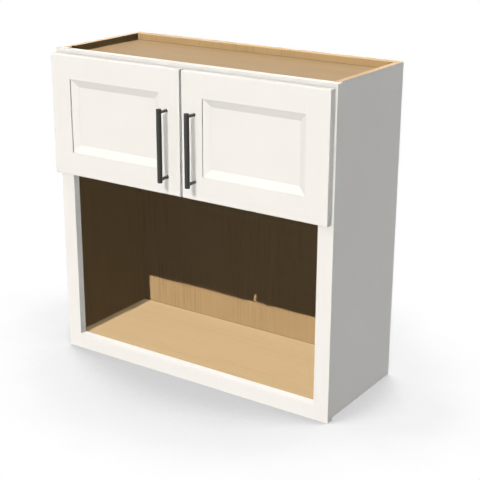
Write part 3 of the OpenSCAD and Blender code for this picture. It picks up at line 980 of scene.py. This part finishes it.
# Pulls
# A round metal bar crosses two turned posts, all powder-coated dark grey. A zinc-plated screw through the
# door from behind holds each post.
pull_metal, tree = start_material("dark_pull_metal")
place = tree.node("ShaderNodeTexCoord", result="Object")
powder = noise(tree, place, (1600, 1600, 1600), 2, 0.6)
drift = noise(tree, place, (40, 40, 12), 2)
add_surface(
    tree,
    base_color=mix_color(tree, drift, (0.037, 0.037, 0.034, 1), (0.045, 0.044, 0.041, 1)),
    specular_ior_level=0.22,
    roughness=0.34 + 0.12 * powder,
    normal=bump(tree, powder, 0.02 * mm, 0.5),
)
bar_arris = 0.8 * mm
bar_steps = 4
bar_ease = 0.01 * mm
post_foot = 0.5 * mm
pull_screw_bite = 12 * mm


def lathe(profile, centre, axis, sides=48):
    """A turned solid: its profile is (radius, place along the axis) from end to end."""
    shape = bmesh.new()
    rings = []
    for radius, along in profile:
        ring = []
        for step in range(sides if radius > 0 else 1):
            turn = 2 * math.pi * step / sides
            spot = [0, 0, 0]
            spot[axis] = along
            spot[(axis + 1) % 3] = centre[0] + radius * math.cos(turn)
            spot[(axis + 2) % 3] = centre[1] + radius * math.sin(turn)
            ring.append(shape.verts.new(spot))
        rings.append(ring)
    for first, second in zip(rings, rings[1:]):
        for step in range(sides):
            after = (step + 1) % sides
            corners = [first[step % len(first)], first[after % len(first)]]
            corners += [second[after % len(second)], second[step % len(second)]]
            shape.faces.new(list(dict.fromkeys(corners)))
    bmesh.ops.recalc_face_normals(shape, faces=shape.faces[:])
    return shape


def joined(shapes):
    """Several shapes as one."""
    whole = bmesh.new()
    for shape in shapes:
        mesh = bpy.data.meshes.new("part")
        shape.to_mesh(mesh)
        shape.free()
        whole.from_mesh(mesh)
        bpy.data.meshes.remove(mesh)
    return whole


bar_low, bar_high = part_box("right_pull_bar")
post_low, post_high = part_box("right_pull_posts")
bar_r = (bar_high.y - bar_low.y) / 2 - bar_ease
bar_x = (bar_high.x + bar_low.x) / 2
bar_y = (bar_high.y + bar_low.y) / 2
post_r = (post_high.x - post_low.x) / 2
post_heights = (post_low.z + post_r, post_high.z - post_r)
bar_profile = [(0, bar_low.z), (bar_r - bar_arris, bar_low.z)]
for step in range(1, bar_steps + 1):
    turn = math.pi / 2 * step / bar_steps
    bar_profile.append(
        (bar_r - bar_arris * (1 - math.sin(turn)), bar_low.z + bar_arris * (1 - math.cos(turn)))
    )
top_half = [(radius, bar_low.z + bar_high.z - z) for radius, z in reversed(bar_profile)]
bar = new_piece("right_bar", lathe(bar_profile + top_half, (bar_x, bar_y), 2), pull_metal)
carve(bar, *[rod((z, bar_x), 1, post_r, post_low.y, post_high.y) for z in post_heights])
post_profile = [
    (0, post_low.y),
    (post_r, post_low.y),
    (post_r, post_high.y - post_foot),
    (post_r + 0.3 * post_foot, post_high.y - post_foot / 3),
    (post_r + post_foot, post_high.y),
    (0, post_high.y),
]
posts_shape = joined([lathe(post_profile, (z, bar_x), 1) for z in post_heights])
posts = new_piece("right_posts", posts_shape, pull_metal)
left_bar = on_left(bar, "left_bar")
left_posts = on_left(posts, "left_posts")
fit(bar, "right_pull_bar")
fit(left_bar, "left_pull_bar")
fit(posts, "right_pull_posts")
fit(left_posts, "left_pull_posts")
for side, sign in (("left", -1), ("right", 1)):
    seats = [(Vector((sign * bar_x, door_high.y, z)), Vector((0, 1, 0))) for z in post_heights]
    pull_screws = add_screws(
        f"{side}_handle_screws",
        seats,
        head_r=4.5 * mm,
        head_h=2 * mm,
        shank_r=2 * mm,
        shank_l=door_t + pull_screw_bite,
    )
    fit(pull_screws, f"{side}_pull_screws")


# Bumpers
# Clear domes of soft plastic with a sticky back. Each door has two behind its free corners, where it shuts
# against the frame.
clear, tree = start_material("clear_bumper")
place = tree.node("ShaderNodeTexCoord", result="Object")
haze = noise(tree, place, (500, 500, 500), 2)
add_surface(
    tree,
    base_color=mix_color(tree, haze, (0.80, 0.83, 0.83, 1), (0.90, 0.92, 0.92, 1)),
    roughness=0.08 + 0.12 * haze,
    transmission_weight=0.85,
    ior=1.45,
)
bumper_low, bumper_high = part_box("right_door_bumpers")
bumper_r = (bumper_high.x - bumper_low.x) / 2
bumper_x = (bumper_high.x + bumper_low.x) / 2
bumper_t = bumper_high.y - bumper_low.y
bumper_rim = 0.25
dome_steps = 6
dome = [(0, bumper_low.y), (bumper_r, bumper_low.y), (bumper_r, bumper_low.y + bumper_rim * bumper_t)]
for step in range(1, dome_steps + 1):
    turn = math.pi / 2 * step / dome_steps
    rise = bumper_rim + (1 - bumper_rim) * math.sin(turn)
    dome.append((bumper_r * math.cos(turn), bumper_low.y + bumper_t * rise))
dome[-1] = (0, bumper_high.y)
bumper_heights = (bumper_low.z + bumper_r, bumper_high.z - bumper_r)
domes = joined([lathe(dome, (z, bumper_x), 1, 32) for z in bumper_heights])
bumpers = new_piece("right_bumpers", domes, clear)
left_bumpers = on_left(bumpers, "left_bumpers")
fit(bumpers, "right_door_bumpers")
fit(left_bumpers, "left_door_bumpers")


# Light lists
# Each lamp lights its own list of pieces. The pulls alone block one sun. Small lamps stand for light thrown
# back by nearby wood and paint, as diffuse bounces are off. So is the light tree, which drops wide suns.
def listed(name, pieces):
    """A collection of pieces for a lamp to light, or to be blocked by."""
    chosen = bpy.data.collections.new(name)
    for piece in pieces:
        chosen.objects.link(piece)
    return chosen


def light_only(lamps, pieces):
    """Lets lamps light only these pieces. Nothing else blocks a wide lamp or one that shines upwards."""
    chosen = listed(lamps[0].name + "_pieces", pieces)
    for entry in chosen.collection_objects:
        entry.light_linking.link_state = "INCLUDE"
    for lamp in lamps:
        lamp.light_linking.receiver_collection = chosen
        shines_up = (lamp.rotation_quaternion @ Vector((0, 0, -1))).z > 0.01
        if shines_up or lamp.data.angle > math.radians(90):
            lamp.light_linking.blocker_collection = chosen


wooden_names = ("top_board", "bay_floor_board", "deck_board", "back_board", "top_hang_strip")
wooden_names += ("bottom_hang_strip", "left_end_board", "right_end_board")
wooden = [bpy.data.objects[name] for name in wooden_names]
shown = [piece for piece in scene.objects if piece.type == "MESH" and not piece.hide_render]
painted = [piece for piece in shown if piece not in wooden + [floor]]
pulls = [bar, posts, left_bar, left_posts]
light_only(wood_lamps, wooden + [floor])
light_only(paint_lamps, painted)
pull_shadow_sun = bpy.data.objects["pull_shadow_sun"]
pull_shadow_sun.light_linking.blocker_collection = listed("pull_blockers", pulls)
ahead_fill = bpy.data.objects["paint_ahead_fill"]
without_pulls = [piece for piece in painted if piece not in pulls]
ahead_fill.light_linking.blocker_collection = listed("paint_blockers", without_pulls)
light_only([post_fill], [posts, left_posts])
light_only([right_fill], [end_board])
light_only([left_fill], [left_end_board])
light_only([stile_fill], [left_stile])
light_only([left_gap_fill], [bpy.data.objects["left_door_inner_stile"]])
light_only([right_gap_fill], [bpy.data.objects["right_door_inner_stile"]])
light_only([rail_fill], [bpy.data.objects["bottom_rail"]])
scene.cycles.diffuse_bounces = 0
scene.cycles.use_light_tree = False
